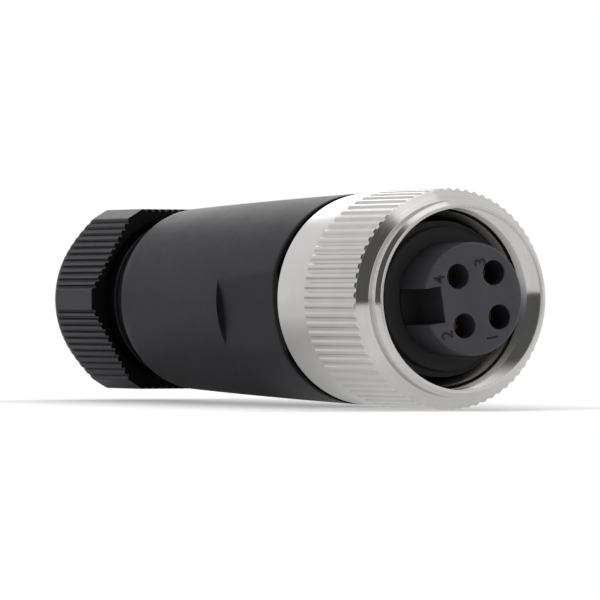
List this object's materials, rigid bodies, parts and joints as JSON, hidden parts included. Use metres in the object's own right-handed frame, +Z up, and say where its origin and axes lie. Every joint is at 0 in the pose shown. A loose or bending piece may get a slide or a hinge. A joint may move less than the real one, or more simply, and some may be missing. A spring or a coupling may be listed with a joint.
{
  "type": "female cable connector",
  "caption": "Round female cable connector with a ribbed screw coupling nut, keyed socket insert, tapered black housing and a hexagonal cable gland nut.",
  "frame": {"origin": "on the connector's axis, in the plane of the coupling nut's lip at rest, inside the insert's nose", "axes": "+X along the axis towards the mating end, +Z up with a flat of the gland nut below, -Y towards the keyway"},
  "size_m": [0.0922, 0.0274, 0.0274],
  "materials": {
    "nickel_plate": "bright nickel plating",
    "insert_plastic": "moulded, fine matt grain",
    "housing_plastic": "moulded, fine matt grain",
    "gland_plastic": "moulded, fine matt grain",
    "cage_plastic": "moulded",
    "seal_rubber": "smooth rubber",
    "contact_gold": "thin gold plating",
    "bare_steel": "bright zinc"
  },
  "bodies": {
    "insert": {"socket_insert": "insert_plastic", "face_seal": "seal_rubber", "housing_seal": "seal_rubber", "socket_contact_1": "contact_gold", "socket_contact_2": "contact_gold", "socket_contact_3": "contact_gold", "socket_contact_4": "contact_gold"},
    "slider": {"slip_washer": "bare_steel"},
    "nut": {"coupling_nut": "nickel_plate"},
    "seal_pack": {"cable_seal": "seal_rubber", "thrust_washer": "cage_plastic"},
    "shell": {"housing": "housing_plastic"},
    "cage": {"clamping_cage": "cage_plastic"},
    "gland": {"gland_nut": "gland_plastic"},
    "plate_1": {"clamp_plate_1": "bare_steel"},
    "screw_1": {"terminal_screw_1": "bare_steel"},
    "plate_2": {"clamp_plate_2": "bare_steel"},
    "screw_2": {"terminal_screw_2": "bare_steel"},
    "plate_3": {"clamp_plate_3": "bare_steel"},
    "screw_3": {"terminal_screw_3": "bare_steel"},
    "plate_4": {"clamp_plate_4": "bare_steel"},
    "screw_4": {"terminal_screw_4": "bare_steel"}
  },
  "joints": [
    {"name": "nut_slide", "type": "slide", "parent": "insert", "child": "slider", "axis": [1, 0, 0], "range_m": [0, 0.004]},
    {"name": "nut_spin", "type": "hinge", "parent": "slider", "child": "nut", "pos_m": [-0.0165, 0, 0], "axis": [1, 0, 0], "continuous": true},
    {"name": "housing_travel", "type": "slide", "parent": "insert", "child": "seal_pack", "axis": [-1, 0, 0], "range_m": [0, 0.006]},
    {"name": "housing_turn", "type": "hinge", "parent": "seal_pack", "child": "shell", "pos_m": [-0.023, 0, 0], "axis": [-1, 0, 0], "range_deg": [0, 1440]},
    {"name": "gland_travel", "type": "slide", "parent": "shell", "child": "cage", "axis": [-1, 0, 0], "range_m": [-0.0018, 0.0042]},
    {"name": "gland_turn", "type": "hinge", "parent": "cage", "child": "gland", "pos_m": [-0.08, 0, 0], "axis": [-1, 0, 0], "range_deg": [-432, 1008]},
    {"name": "screw_1_travel", "type": "slide", "parent": "insert", "child": "plate_1", "axis": [0, -0.8578, 0.514], "range_m": [0, 0.0012]},
    {"name": "screw_1_turn", "type": "hinge", "parent": "plate_1", "child": "screw_1", "pos_m": [-0.03635, 0.00371, -0.00222], "axis": [0, -0.8578, 0.514], "range_deg": [0, 864]},
    {"name": "screw_2_travel", "type": "slide", "parent": "insert", "child": "plate_2", "axis": [0, 0.3617, 0.9323], "range_m": [0, 0.0012]},
    {"name": "screw_2_turn", "type": "hinge", "parent": "plate_2", "child": "screw_2", "pos_m": [-0.03635, -0.00128, -0.0033], "axis": [0, 0.3617, 0.9323], "range_deg": [0, 864]},
    {"name": "screw_3_travel", "type": "slide", "parent": "insert", "child": "plate_3", "axis": [0, -0.6623, -0.7493], "range_m": [0, 0.0012]},
    {"name": "screw_3_turn", "type": "hinge", "parent": "plate_3", "child": "screw_3", "pos_m": [-0.03635, 0.00286, 0.00324], "axis": [0, -0.6623, -0.7493], "range_deg": [0, 864]},
    {"name": "screw_4_travel", "type": "slide", "parent": "insert", "child": "plate_4", "axis": [0, 0.6267, -0.7793], "range_m": [0, 0.0012]},
    {"name": "screw_4_turn", "type": "hinge", "parent": "plate_4", "child": "screw_4", "pos_m": [-0.03635, -0.00222, 0.00276], "axis": [0, 0.6267, -0.7793], "range_deg": [0, 864]}
  ],
  "couplings": [
    {"joint": "housing_travel", "follows": "housing_turn", "m_per_rad": 0.00023873},
    {"joint": "gland_travel", "follows": "gland_turn", "m_per_rad": 0.00023873},
    {"joint": "screw_1_turn", "follows": "screw_1_travel", "rad_per_m": 12566},
    {"joint": "screw_2_turn", "follows": "screw_2_travel", "rad_per_m": 12566},
    {"joint": "screw_3_turn", "follows": "screw_3_travel", "rad_per_m": 12566},
    {"joint": "screw_4_turn", "follows": "screw_4_travel", "rad_per_m": 12566}
  ]
}
